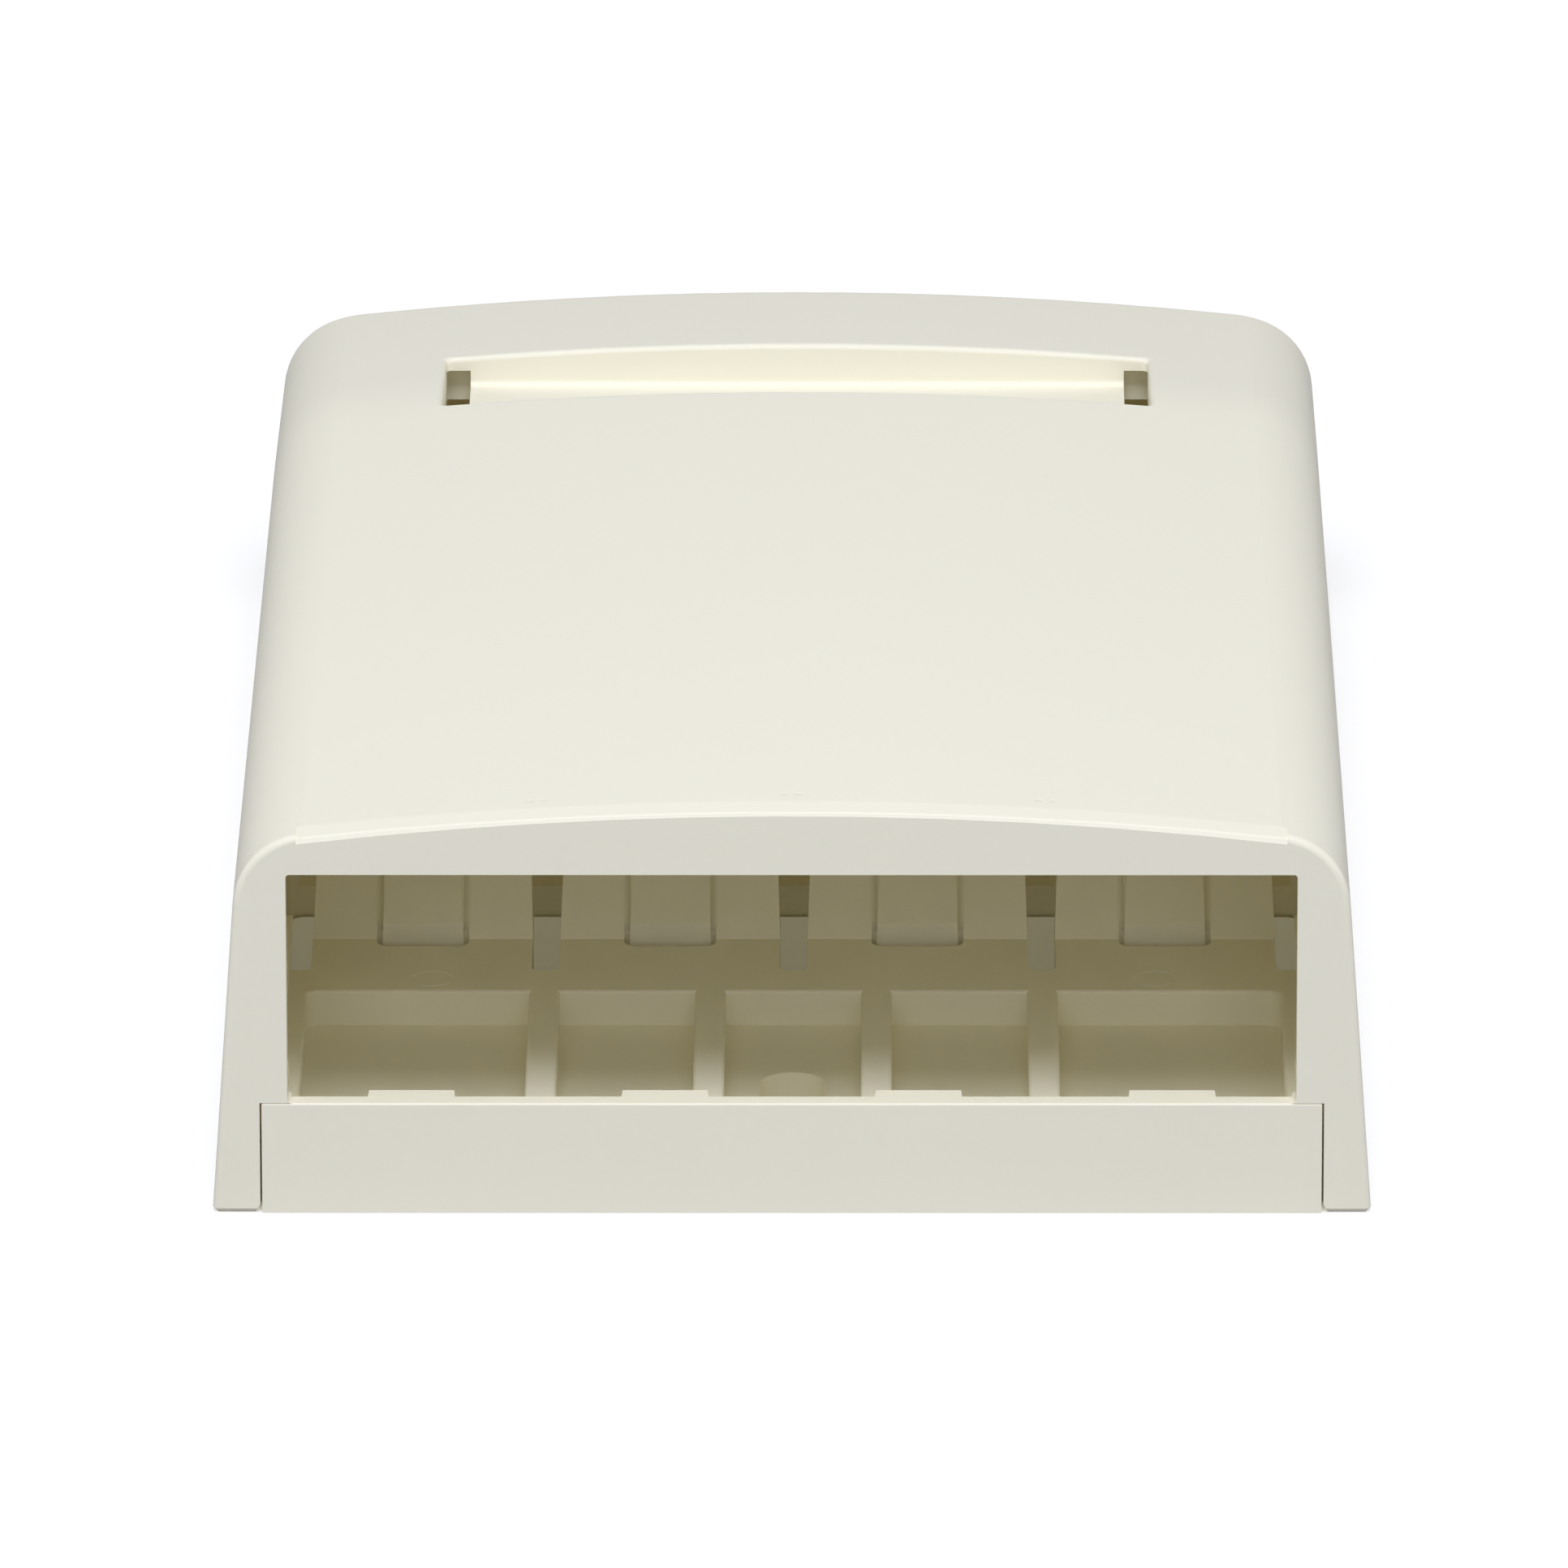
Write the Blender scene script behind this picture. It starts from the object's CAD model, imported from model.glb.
"""Surface mount jack box: moulded plastic finish, mould marks, floor, soft light and camera.

Run as a script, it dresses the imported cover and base. All lengths are in metres, in the frame of
the part: +Z up from the surface that the box is fixed to, -Y out of the row of jacks.
"""

from math import cos, radians, sin

import bmesh
import bpy
from bpy.props import FloatProperty, FloatVectorProperty, PointerProperty
from mathutils import Matrix, Vector


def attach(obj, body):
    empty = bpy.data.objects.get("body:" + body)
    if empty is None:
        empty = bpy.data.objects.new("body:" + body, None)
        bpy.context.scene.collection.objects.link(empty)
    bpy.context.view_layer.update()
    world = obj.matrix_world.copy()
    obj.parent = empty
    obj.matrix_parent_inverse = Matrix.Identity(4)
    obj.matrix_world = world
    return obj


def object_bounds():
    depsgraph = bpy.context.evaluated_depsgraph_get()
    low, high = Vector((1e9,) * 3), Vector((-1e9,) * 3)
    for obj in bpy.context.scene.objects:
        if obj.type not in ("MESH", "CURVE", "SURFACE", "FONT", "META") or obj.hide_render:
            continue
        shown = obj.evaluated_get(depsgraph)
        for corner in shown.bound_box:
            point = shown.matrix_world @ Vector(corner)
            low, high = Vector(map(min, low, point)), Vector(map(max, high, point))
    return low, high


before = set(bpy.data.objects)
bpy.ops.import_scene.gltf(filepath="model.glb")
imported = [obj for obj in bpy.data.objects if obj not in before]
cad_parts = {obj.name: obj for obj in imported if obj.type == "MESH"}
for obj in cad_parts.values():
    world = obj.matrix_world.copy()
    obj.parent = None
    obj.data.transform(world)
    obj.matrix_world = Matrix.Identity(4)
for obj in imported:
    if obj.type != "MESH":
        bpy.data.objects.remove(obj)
cad_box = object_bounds()

bl_info = {
    "name": "Surface mount jack box",
    "version": (1, 0, 0),
    "blender": (4, 5, 0),
    "location": "3D View > Sidebar > Jack Box",
    "description": "Moulded finish, mould marks and stage for a surface mount jack box",
    "category": "Object",
}

MM = 0.001

# Soft lamps round the object: name, place, size, power in watts
LAMPS = (
    ("key_lamp", (0.0, -0.6, 1.04), (0.6, 0.6), 10.2),
    ("front_lamp", (0.0, -1.04, 0.6), (0.6, 0.6), 0.9),
    ("low_front_lamp", (0.0, -1.15, 0.3), (0.6, 0.4), 1.0),
    ("left_lamp", (-1.1, -0.15, 0.45), (0.6, 0.6), 2.9),
    ("right_lamp", (1.1, -0.15, 0.45), (0.6, 0.6), 2.9),
    ("top_lamp", (0.0, 0.1, 1.2), (0.6, 0.6), 0.9),
    ("rear_lamp", (0.0, 0.9, 0.8), (0.6, 0.6), 0.6),
)

# Where the light that comes through the walls is seen: axis, where it starts, where it is full,
# in millimetres
WALL_LIGHT = (
    ("X", 34.6, 34.2), ("X", -34.6, -34.2), ("Y", -25.0, -10.0), ("Y", 60.0, 50.0),
    ("Z", 0.1, 0.3), ("Z", 19.5, 15.0),
)

# Where the lit table shines on the wall of the front screw slot, in the same way
SLOT_LIGHT = (
    ("X", -2.3, -2.2), ("X", 2.3, 2.2), ("Y", -53.0, -52.6), ("Y", -43.7, -44.1), ("Z", 2.79, 2.7),
)

# Where the arms carry their tongues, in the same way
TONGUE_ZONE = (("Y", -25.0, -24.3), ("Y", -15.5, -16.0), ("Z", 5.3, 5.5), ("Z", 16.0, 15.5))

# Pitch of the jacks, and middles of the ejector pins on the jack bed, in millimetres
JACK_PITCH = 16.3
PIN_PLACES = ((-23.7, -33.05, 5.2), (23.7, -33.05, 5.2))

# Row of the sink marks above the ribs, and the height below which there are none, in millimetres
SINK_ROW = -58.75
SINK_FLOOR = 25.0

# How far the tint of the plastic falls and rises, and how far its roughness does
TINT_DARK = 0.985
TINT_LIGHT = 1.012
ROUGHNESS_SWING = 0.04

# Colour of the plastic in full shade beside a tongue
SHADE_COLOR = (0.2, 0.17, 0.0, 1.0)
WHITE = (1.0, 1.0, 1.0, 1.0)

# Camera: place in millimetres, then pitch, yaw and roll in degrees
CAMERA_PLACE = (5.309, -1288.356, 463.276)
CAMERA_TURN = (19.5, -0.27, -0.08)

# Floor: half its side, how far it lies below the object, and the reach of the glow, in metres
FLOOR_HALF_SIDE = 4.0
FLOOR_DROP = 0.02 * MM
GLOW_EDGE = 2.0 * MM
GLOW_REACH = 0.2


# Sizes and colours


class PlasticSettings(bpy.types.PropertyGroup):
    """Colour and surface of the moulded plastic."""

    cover_color: FloatVectorProperty(
        name="Cover colour", description="Body colour of the cover", subtype="COLOR",
        default=(0.901, 0.868, 0.713), min=0.0, max=1.0,
    )
    base_color: FloatVectorProperty(
        name="Base colour", description="Body colour of the base", subtype="COLOR",
        default=(0.901, 0.868, 0.713), min=0.0, max=1.0,
    )
    roughness: FloatProperty(
        name="Roughness", description="Roughness of the satin moulding", subtype="FACTOR",
        default=0.52, min=0.0, max=1.0,
    )
    grain_size: FloatProperty(
        name="Grain size", description="Width of one grain of the etched mould surface",
        unit="LENGTH", default=0.35 * MM, min=0.05 * MM, max=2.0 * MM,
    )
    grain_depth: FloatProperty(
        name="Grain depth", description="Height of the etched grain",
        unit="LENGTH", default=0.004 * MM, min=0.0, max=0.1 * MM,
    )
    wall_light: FloatProperty(
        name="Wall light",
        description="Strength of the light inside the box that comes through its thin walls",
        default=0.05, min=0.0, max=1.0,
    )
    wall_light_color: FloatVectorProperty(
        name="Wall light colour", description="Colour of the light that comes through the walls",
        subtype="COLOR", default=(1.0, 0.87, 0.5), min=0.0, max=1.0,
    )
    sink_depth: FloatProperty(
        name="Sink mark depth", description="Depth of the sink marks above the ribs of the roof",
        unit="LENGTH", default=0.06 * MM, min=0.0, max=0.2 * MM,
    )


class PinMarkSettings(bpy.types.PropertyGroup):
    """Round witness marks that ejector pins leave in the jack bed."""

    radius: FloatProperty(
        name="Pin radius", description="Radius of an ejector pin",
        unit="LENGTH", default=1.4 * MM, min=0.5 * MM, max=4.0 * MM,
    )
    rim: FloatProperty(
        name="Rim width", description="Width of the flash ring round a pin",
        unit="LENGTH", default=0.08 * MM, min=0.02 * MM, max=0.5 * MM,
    )
    proud: FloatProperty(
        name="Rim height", description="Height of the flash ring above the bed",
        unit="LENGTH", default=0.03 * MM, min=0.01 * MM, max=0.3 * MM,
    )


class StageSettings(bpy.types.PropertyGroup):
    """Floor, light and camera."""

    floor_color: FloatVectorProperty(
        name="Floor colour", description="Colour of the floor", subtype="COLOR",
        default=(0.5, 0.5, 0.5), min=0.0, max=1.0,
    )
    floor_glow: FloatProperty(
        name="Floor glow",
        description="Glow of the lit table round the object, up to the white of the backdrop",
        subtype="FACTOR", default=0.62, min=0.0, max=1.0,
    )
    floor_glow_far: FloatProperty(
        name="Floor glow far",
        description="What the glow gains far away, where the lamps no longer reach",
        subtype="FACTOR", default=0.12, min=0.0, max=1.0,
    )
    floor_glow_below: FloatProperty(
        name="Floor glow below",
        description="Glow of the lit table below the object, as its holes show it",
        subtype="FACTOR", default=0.138, min=0.0, max=1.0,
    )
    floor_color_below: FloatVectorProperty(
        name="Floor colour below", description="Colour of the glow below the object",
        subtype="COLOR", default=(1.0, 0.93, 0.62), min=0.0, max=1.0,
    )
    sky: FloatProperty(
        name="Room light", description="Strength of the even light of the room",
        default=0.0, min=0.0, max=3.0,
    )
    lamp_level: FloatProperty(
        name="Lamp level", description="Level of all lamps together",
        default=1.0, min=0.0, max=10.0,
    )
    lamp_color: FloatVectorProperty(
        name="Lamp colour", description="Colour of the lamps", subtype="COLOR",
        default=(0.98, 1.0, 1.086), min=0.0, max=2.0,
    )
    lens: FloatProperty(
        name="Lens", description="Focal length of the camera in millimetres",
        default=467.69, min=10.0, max=1000.0,
    )


# Shader node helpers


def new_material(name):
    """Empty node material with a Principled BSDF joined to its output."""
    material = bpy.data.materials.new(name)
    material.use_nodes = True
    # The glow is too weak and too wide to be sampled as a lamp
    material.cycles.emission_sampling = "NONE"
    tree = material.node_tree
    tree.nodes.clear()
    output = tree.nodes.new("ShaderNodeOutputMaterial")
    shader = tree.nodes.new("ShaderNodeBsdfPrincipled")
    tree.links.new(shader.outputs["BSDF"], output.inputs["Surface"])
    return material, tree, shader


def new_group(name, inputs, outputs):
    """Shader node group whose sockets come from (name, type, default) rows."""
    group = bpy.data.node_groups.new(name, "ShaderNodeTree")
    for label, kind, default in inputs:
        socket = group.interface.new_socket(name=label, in_out="INPUT", socket_type=kind)
        if default is not None:
            socket.default_value = default
    for label, kind in outputs:
        group.interface.new_socket(name=label, in_out="OUTPUT", socket_type=kind)
    return group, group.nodes.new("NodeGroupInput"), group.nodes.new("NodeGroupOutput")


def put(tree, kind, sockets=None, **settings):
    """New node with its settings; sockets maps an input to a value or to an output socket."""
    node = tree.nodes.new(kind)
    for name, value in settings.items():
        setattr(node, name, value)
    for key, value in (sockets or {}).items():
        if isinstance(value, bpy.types.NodeSocket):
            tree.links.new(value, node.inputs[key])
        else:
            node.inputs[key].default_value = value
    return node


def maths(tree, operation, *values):
    """Result of a Math node over numbers or sockets."""
    node = put(tree, "ShaderNodeMath", dict(enumerate(values)), operation=operation)
    return node.outputs[0]


def ramp(tree, value, start, end, low=0.0, high=1.0, **settings):
    """Result of a Map Range node: low at start, high at end, held beyond them."""
    sockets = {"Value": value, "From Min": start, "From Max": end, "To Min": low, "To Max": high}
    return put(tree, "ShaderNodeMapRange", sockets, **settings).outputs[0]


# Shared effects


def etched_grain_group():
    """Fine etched grain of the mould: a height in 0..1 and a faint tone."""
    group, given, made = new_group(
        "Etched grain",
        [("Vector", "NodeSocketVector", None), ("Grain Size", "NodeSocketFloat", 0.35 * MM)],
        [("Height", "NodeSocketFloat"), ("Tone", "NodeSocketFloat")],
    )
    scale = maths(group, "DIVIDE", 1.0, given.outputs["Grain Size"])
    fine = put(
        group, "ShaderNodeTexNoise",
        {"Vector": given.outputs["Vector"], "Scale": scale, "Detail": 2.0, "Roughness": 0.5},
    )
    coarse_scale = maths(group, "MULTIPLY", scale, 0.02)
    coarse = put(
        group, "ShaderNodeTexNoise",
        {"Vector": given.outputs["Vector"], "Scale": coarse_scale, "Detail": 3.0, "Roughness": 0.6},
    )
    group.links.new(fine.outputs[0], made.inputs["Height"])
    group.links.new(coarse.outputs[0], made.inputs["Tone"])
    return group


def zone(tree, axes, rows):
    """1 inside the given rows of (axis, where it starts, where it is full), 0 outside them."""
    inside = 1.0
    for axis, start, full in rows:
        inside = maths(tree, "MULTIPLY", ramp(tree, axes[axis], start * MM, full * MM), inside)
    return inside


def wall_light_group():
    """Strength of the light that comes through the thin walls: 1 inside the box, 0 on its outside.

    Level faces get little of it, because the table lies below them.
    """
    group, given, made = new_group(
        "Wall light",
        [("Vector", "NodeSocketVector", None), ("Normal", "NodeSocketVector", None),
         ("Level Share", "NodeSocketFloat", 0.3)],
        [("Strength", "NodeSocketFloat")],
    )
    axes = put(group, "ShaderNodeSeparateXYZ", {"Vector": given.outputs["Vector"]}).outputs
    upright = put(group, "ShaderNodeSeparateXYZ", {"Vector": given.outputs["Normal"]}).outputs["Z"]
    level = ramp(group, upright, 0.8, 0.98, 1.0, given.outputs["Level Share"])
    lit = maths(group, "MAXIMUM", zone(group, axes, WALL_LIGHT), zone(group, axes, SLOT_LIGHT))
    strength = maths(group, "MULTIPLY", level, lit)
    group.links.new(strength, made.inputs["Strength"])
    return group


def crevice_shade_group():
    """Share of the light that reaches the feet of the tongues on the arms: 1 away from them."""
    group, given, made = new_group(
        "Crevice shade",
        [("Vector", "NodeSocketVector", None), ("Pitch", "NodeSocketFloat", JACK_PITCH * MM),
         ("Half Width", "NodeSocketFloat", 2.68 * MM), ("Reach", "NodeSocketFloat", 0.55 * MM),
         ("Depth", "NodeSocketFloat", 0.3)],
        [("Light", "NodeSocketFloat")],
    )
    axes = put(group, "ShaderNodeSeparateXYZ", {"Vector": given.outputs["Vector"]}).outputs
    pitch = given.outputs["Pitch"]
    arm = maths(group, "FLOOR", maths(group, "DIVIDE", axes["X"], pitch))
    middle = maths(group, "MULTIPLY", maths(group, "ADD", arm, 0.5), pitch)
    aside = maths(group, "ABSOLUTE", maths(group, "SUBTRACT", axes["X"], middle))
    aside = maths(group, "SUBTRACT", aside, given.outputs["Half Width"])
    shade = ramp(
        group, aside, 0.0, given.outputs["Reach"], given.outputs["Depth"], 0.0,
        interpolation_type="SMOOTHSTEP",
    )
    shade = maths(group, "MULTIPLY", shade, maths(group, "GREATER_THAN", aside, -0.02 * MM))
    shade = maths(group, "MULTIPLY", shade, zone(group, axes, TONGUE_ZONE))
    group.links.new(maths(group, "SUBTRACT", 1.0, shade), made.inputs["Light"])
    return group


def sink_mark_group():
    """Pairs of faint dimples in a row over the ribs: a height of 0 at their bottom, 1 outside."""
    group, given, made = new_group(
        "Sink marks",
        [("Vector", "NodeSocketVector", None), ("Pitch", "NodeSocketFloat", JACK_PITCH * MM),
         ("Row", "NodeSocketFloat", SINK_ROW * MM), ("Half Spacing", "NodeSocketFloat", 0.45 * MM),
         ("Radius", "NodeSocketFloat", 0.4 * MM)],
        [("Height", "NodeSocketFloat")],
    )
    axes = put(group, "ShaderNodeSeparateXYZ", {"Vector": given.outputs["Vector"]}).outputs
    pitch = given.outputs["Pitch"]
    rib = maths(group, "ROUND", maths(group, "DIVIDE", axes["X"], pitch))
    rib = maths(group, "MAXIMUM", maths(group, "MINIMUM", rib, 1.0), -1.0)
    nearest = maths(group, "MULTIPLY", rib, pitch)
    aside = maths(group, "ABSOLUTE", maths(group, "SUBTRACT", axes["X"], nearest))
    aside = maths(group, "SUBTRACT", aside, given.outputs["Half Spacing"])
    along = maths(group, "SUBTRACT", axes["Y"], given.outputs["Row"])
    above = maths(group, "GREATER_THAN", axes["Z"], SINK_FLOOR * MM)
    squares = maths(group, "MULTIPLY_ADD", aside, aside, maths(group, "MULTIPLY", along, along))
    away = maths(group, "DIVIDE", maths(group, "SQRT", squares), given.outputs["Radius"])
    dimple = ramp(group, away, 0.0, 1.0, 1.0, 0.0, interpolation_type="SMOOTHSTEP")
    depth = maths(group, "MULTIPLY", dimple, above)
    group.links.new(maths(group, "SUBTRACT", 1.0, depth), made.inputs["Height"])
    return group


def plastic_material(name, color, settings, effects):
    """Satin moulded plastic with the etched grain in its bump, colour and roughness."""
    material, tree, shader = new_material(name)
    places = put(tree, "ShaderNodeTexCoord").outputs
    place = places["Object"]
    surface = put(tree, "ShaderNodeGroup", node_tree=effects["grain"])
    tree.links.new(place, surface.inputs["Vector"])
    surface.inputs["Grain Size"].default_value = settings.grain_size
    light = [min(1.0, c * TINT_LIGHT) for c in color]
    dark = [c * TINT_DARK for c in color]
    tone = put(
        tree, "ShaderNodeMix",
        {0: surface.outputs["Tone"], 6: (*dark, 1.0), 7: (*light, 1.0)}, data_type="RGBA",
    )
    crevice = put(tree, "ShaderNodeGroup", node_tree=effects["crevice"])
    tree.links.new(place, crevice.inputs["Vector"])
    shaded = put(
        tree, "ShaderNodeMix",
        {0: crevice.outputs["Light"], 6: SHADE_COLOR, 7: tone.outputs[2]}, data_type="RGBA",
    )
    tree.links.new(shaded.outputs[2], shader.inputs["Base Color"])
    rough = ramp(
        tree, surface.outputs["Tone"], 0.0, 1.0,
        settings.roughness - ROUGHNESS_SWING, settings.roughness + ROUGHNESS_SWING,
    )
    tree.links.new(rough, shader.inputs["Roughness"])
    bump = put(
        tree, "ShaderNodeBump",
        {"Height": surface.outputs["Height"], "Distance": settings.grain_depth, "Strength": 1.0},
    )
    sinks = put(tree, "ShaderNodeGroup", node_tree=effects["sinks"])
    tree.links.new(place, sinks.inputs["Vector"])
    dimpled = put(
        tree, "ShaderNodeBump",
        {"Height": sinks.outputs["Height"], "Distance": settings.sink_depth, "Strength": 1.0,
         "Normal": bump.outputs[0]},
    )
    tree.links.new(dimpled.outputs[0], shader.inputs["Normal"])
    inside = put(tree, "ShaderNodeGroup", node_tree=effects["wall_light"])
    tree.links.new(place, inside.inputs["Vector"])
    tree.links.new(places["Normal"], inside.inputs["Normal"])
    glow = maths(tree, "MULTIPLY", inside.outputs["Strength"], settings.wall_light)
    glow = maths(tree, "MULTIPLY", glow, crevice.outputs["Light"])
    tree.links.new(glow, shader.inputs["Emission Strength"])
    shader.inputs["Emission Color"].default_value = (*settings.wall_light_color, 1.0)
    return material


class JACKBOX_OT_plastic(bpy.types.Operator):
    """Give the cover and the base their moulded plastic"""

    bl_idname = "jackbox.plastic"
    bl_label = "Moulded plastic"

    def execute(self, context):
        settings = context.scene.jackbox_plastic
        effects = {
            "grain": etched_grain_group(),
            "sinks": sink_mark_group(),
            "wall_light": wall_light_group(),
            "crevice": crevice_shade_group(),
        }
        for node, color in (("cover", settings.cover_color), ("base", settings.base_color)):
            material = plastic_material(f"{node}_plastic", tuple(color), settings, effects)
            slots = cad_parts[node].material_slots
            if not slots:
                raise RuntimeError(f"{node} has no material slot")
            for slot in slots:
                slot.material = material
        return {"FINISHED"}


# Mould marks


def pin_mark_nodes():
    """Geometry nodes that set a flat ring on every given point."""
    group = bpy.data.node_groups.new("Pin marks", "GeometryNodeTree")
    group.is_modifier = True
    group.interface.new_socket(name="Geometry", in_out="OUTPUT", socket_type="NodeSocketGeometry")
    group.interface.new_socket(name="Geometry", in_out="INPUT", socket_type="NodeSocketGeometry")
    for label in ("Radius", "Rim", "Proud"):
        group.interface.new_socket(name=label, in_out="INPUT", socket_type="NodeSocketFloat")
    group.interface.new_socket(name="Material", in_out="INPUT", socket_type="NodeSocketMaterial")
    given = group.nodes.new("NodeGroupInput").outputs
    half_rim = maths(group, "DIVIDE", given["Rim"], 2.0)
    pin = put(
        group, "GeometryNodeCurvePrimitiveCircle",
        {"Resolution": 48, "Radius": given["Radius"]}, mode="RADIUS",
    )
    profile = put(
        group, "GeometryNodeCurvePrimitiveCircle",
        {"Resolution": 8, "Radius": half_rim}, mode="RADIUS",
    )
    ring = put(
        group, "GeometryNodeCurveToMesh",
        {"Curve": pin.outputs[0], "Profile Curve": profile.outputs[0]},
    )
    height = maths(group, "DIVIDE", given["Proud"], half_rim)
    flat = put(group, "ShaderNodeCombineXYZ", {"X": 1.0, "Y": 1.0, "Z": height})
    shaped = put(
        group, "GeometryNodeTransform", {"Geometry": ring.outputs[0], "Scale": flat.outputs[0]},
    )
    rings = put(
        group, "GeometryNodeInstanceOnPoints",
        {"Points": given["Geometry"], "Instance": shaped.outputs[0]},
    )
    real = put(group, "GeometryNodeRealizeInstances", {"Geometry": rings.outputs[0]})
    dressed = put(
        group, "GeometryNodeSetMaterial",
        {"Geometry": real.outputs[0], "Material": given["Material"]},
    )
    made = group.nodes.new("NodeGroupOutput")
    group.links.new(dressed.outputs[0], made.inputs[0])
    return group


class JACKBOX_OT_pin_marks(bpy.types.Operator):
    """Set the witness marks of the ejector pins on the jack bed"""

    bl_idname = "jackbox.pin_marks"
    bl_label = "Pin marks"

    def execute(self, context):
        settings = context.scene.jackbox_pins
        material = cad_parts["base"].material_slots[0].material
        if material is None:
            raise RuntimeError("the base has no plastic yet")
        mesh = bpy.data.meshes.new("pin_marks")
        mesh.from_pydata([tuple(value * MM for value in place) for place in PIN_PLACES], [], [])
        marks = bpy.data.objects.new("pin_marks", mesh)
        context.scene.collection.objects.link(marks)
        group = pin_mark_nodes()
        modifier = marks.modifiers.new("Pin marks", "NODES")
        modifier.node_group = group
        values = {
            "Radius": settings.radius,
            "Rim": settings.rim,
            "Proud": settings.proud,
            "Material": material,
        }
        for socket in group.interface.items_tree:
            if socket.in_out == "INPUT" and socket.name in values:
                modifier[socket.identifier] = values[socket.name]
        graph = context.evaluated_depsgraph_get()
        marks.data = bpy.data.meshes.new_from_object(marks.evaluated_get(graph))
        marks.modifiers.clear()
        if not marks.data.polygons:
            raise RuntimeError("the pin marks came out empty")
        self.face_outwards(marks.data)
        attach(marks, "base")
        return {"FINISHED"}

    def face_outwards(self, mesh):
        shell = bmesh.new()
        shell.from_mesh(mesh)
        bmesh.ops.recalc_face_normals(shell, faces=shell.faces)
        shell.to_mesh(mesh)
        shell.free()


# Stage


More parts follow.
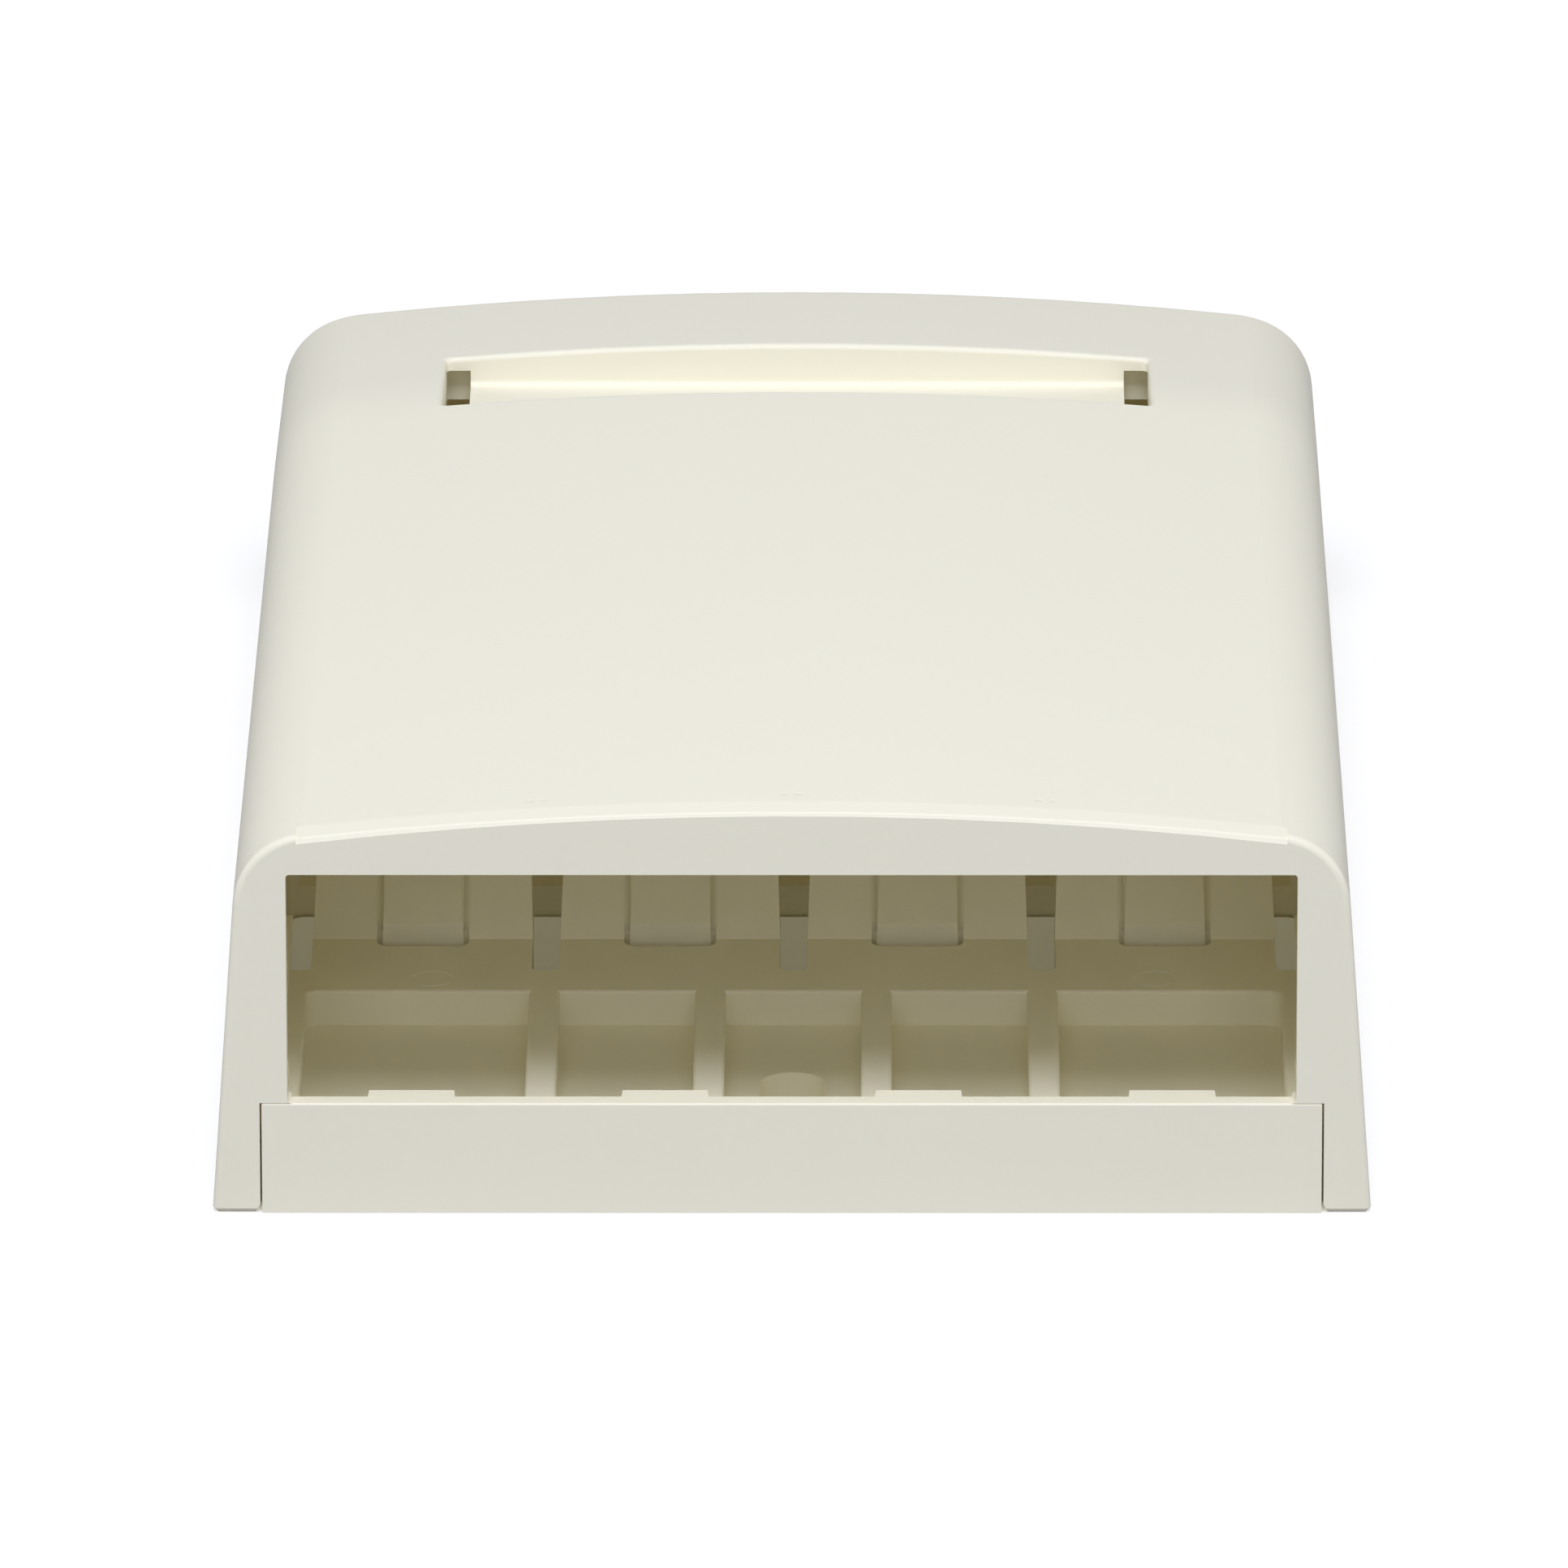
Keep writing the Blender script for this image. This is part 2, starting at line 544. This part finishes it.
class JACKBOX_OT_stage(bpy.types.Operator):
    """Make the floor, the soft light and the camera"""

    bl_idname = "jackbox.stage"
    bl_label = "Stage"

    def execute(self, context):
        settings = context.scene.jackbox_stage
        self.floor(settings)
        self.room(context.scene, settings)
        for name, place, size, power in LAMPS:
            self.lamp(name, place, size, power * settings.lamp_level, settings.lamp_color)
        self.camera(context.scene, settings)
        context.scene.view_settings.view_transform = "Standard"
        context.scene.cycles.max_bounces = 16
        context.scene.cycles.diffuse_bounces = 12
        return {"FINISHED"}

    def floor(self, settings):
        side = FLOOR_HALF_SIDE
        mesh = bpy.data.meshes.new("floor")
        corners = [(-side, -side), (side, -side), (side, side), (-side, side)]
        mesh.from_pydata([(x, y, -FLOOR_DROP) for x, y in corners], [], [(0, 1, 2, 3)])
        floor = bpy.data.objects.new("floor", mesh)
        bpy.context.scene.collection.objects.link(floor)
        material, tree, shader = new_material("floor_paper")
        shader.inputs["Base Color"].default_value = (*settings.floor_color, 1.0)
        shader.inputs["Roughness"].default_value = 1.0
        shader.inputs["Specular IOR Level"].default_value = 0.0
        place = put(tree, "ShaderNodeTexCoord").outputs["Object"]
        axes = put(tree, "ShaderNodeSeparateXYZ", {"Vector": place}).outputs
        beyond_x, beyond_y = (
            maths(tree, "SUBTRACT", maths(tree, "ABSOLUTE", axis), limit)
            for axis, limit in ((axes["X"], cad_box[1].x), (axes["Y"], cad_box[1].y))
        )
        edge = maths(tree, "MAXIMUM", beyond_x, beyond_y)
        outside = ramp(tree, edge, -GLOW_EDGE, 0.0)
        color = put(
            tree, "ShaderNodeMix",
            {0: outside, 6: (*settings.floor_color_below, 1.0), 7: WHITE}, data_type="RGBA",
        )
        tree.links.new(color.outputs[2], shader.inputs["Emission Color"])
        near = ramp(tree, outside, 0.0, 1.0, settings.floor_glow_below, settings.floor_glow)
        far = ramp(tree, edge, 0.0, GLOW_REACH, 0.0, settings.floor_glow_far)
        glow = maths(tree, "ADD", near, far)
        seen = put(tree, "ShaderNodeLightPath").outputs["Is Camera Ray"]
        strength = maths(tree, "MULTIPLY", seen, glow)
        tree.links.new(strength, shader.inputs["Emission Strength"])
        mesh.materials.append(material)

    def room(self, scene, settings):
        world = bpy.data.worlds.new("room")
        world.use_nodes = True
        tree = world.node_tree
        tree.nodes.clear()
        output = tree.nodes.new("ShaderNodeOutputWorld")
        path = put(tree, "ShaderNodeLightPath")
        seen = maths(tree, "MAXIMUM", path.outputs["Is Camera Ray"], path.outputs["Is Glossy Ray"])
        seen = maths(tree, "MAXIMUM", seen, path.outputs["Is Transmission Ray"])
        even = put(tree, "ShaderNodeBackground", {"Color": WHITE, "Strength": settings.sky})
        white = put(tree, "ShaderNodeBackground", {"Color": WHITE, "Strength": 1.0})
        mix = put(tree, "ShaderNodeMixShader", {0: seen, 1: even.outputs[0], 2: white.outputs[0]})
        tree.links.new(mix.outputs[0], output.inputs["Surface"])
        scene.world = world

    def lamp(self, name, place, size, power, color):
        data = bpy.data.lights.new(name, "AREA")
        data.shape = "RECTANGLE"
        data.size, data.size_y = size
        data.energy = power
        data.color = color
        lamp = bpy.data.objects.new(name, data)
        lamp.location = place
        lamp.rotation_euler = (-Vector(place)).to_track_quat("-Z", "Y").to_euler()
        bpy.context.scene.collection.objects.link(lamp)

    def camera(self, scene, settings):
        pitch, yaw, roll = (radians(angle) for angle in CAMERA_TURN)
        ahead = Vector((sin(yaw) * cos(pitch), cos(yaw) * cos(pitch), -sin(pitch)))
        level = Vector((cos(yaw), -sin(yaw), 0.0))
        upright = level.cross(ahead)
        across = level * cos(roll) + upright * sin(roll)
        up = upright * cos(roll) - level * sin(roll)
        data = bpy.data.cameras.new("camera")
        data.sensor_width = 36.0
        data.lens = settings.lens
        data.clip_start, data.clip_end = 0.05, 20.0
        camera = bpy.data.objects.new("camera", data)
        turned = Matrix((across, up, -ahead)).transposed().to_4x4()
        camera.matrix_world = Matrix.Translation(Vector(CAMERA_PLACE) * MM) @ turned
        scene.collection.objects.link(camera)
        scene.camera = camera


class JACKBOX_PT_panel(bpy.types.Panel):
    """Sidebar panel with the pieces of the jack box"""

    bl_label = "Jack Box"
    bl_idname = "JACKBOX_PT_panel"
    bl_space_type = "VIEW_3D"
    bl_region_type = "UI"
    bl_category = "Jack Box"

    def draw(self, context):
        layout = self.layout
        for pointer, operator in SECTIONS:
            settings = getattr(context.scene, pointer)
            box = layout.box()
            for name in settings.__annotations__:
                box.prop(settings, name)
            box.operator(operator)


SECTIONS = (
    ("jackbox_plastic", "jackbox.plastic"),
    ("jackbox_pins", "jackbox.pin_marks"),
    ("jackbox_stage", "jackbox.stage"),
)
SETTINGS = (
    ("jackbox_plastic", PlasticSettings),
    ("jackbox_pins", PinMarkSettings),
    ("jackbox_stage", StageSettings),
)
CLASSES = (
    PlasticSettings,
    PinMarkSettings,
    StageSettings,
    JACKBOX_OT_plastic,
    JACKBOX_OT_pin_marks,
    JACKBOX_OT_stage,
    JACKBOX_PT_panel,
)


def register():
    for item in CLASSES:
        bpy.utils.register_class(item)
    for name, group in SETTINGS:
        setattr(bpy.types.Scene, name, PointerProperty(type=group))


def unregister():
    for name, _ in SETTINGS:
        delattr(bpy.types.Scene, name)
    for item in reversed(CLASSES):
        bpy.utils.unregister_class(item)


def main():
    register()
    bpy.ops.jackbox.plastic()
    bpy.ops.jackbox.pin_marks()
    bpy.ops.jackbox.stage()


if __name__ == "__main__":
    main()
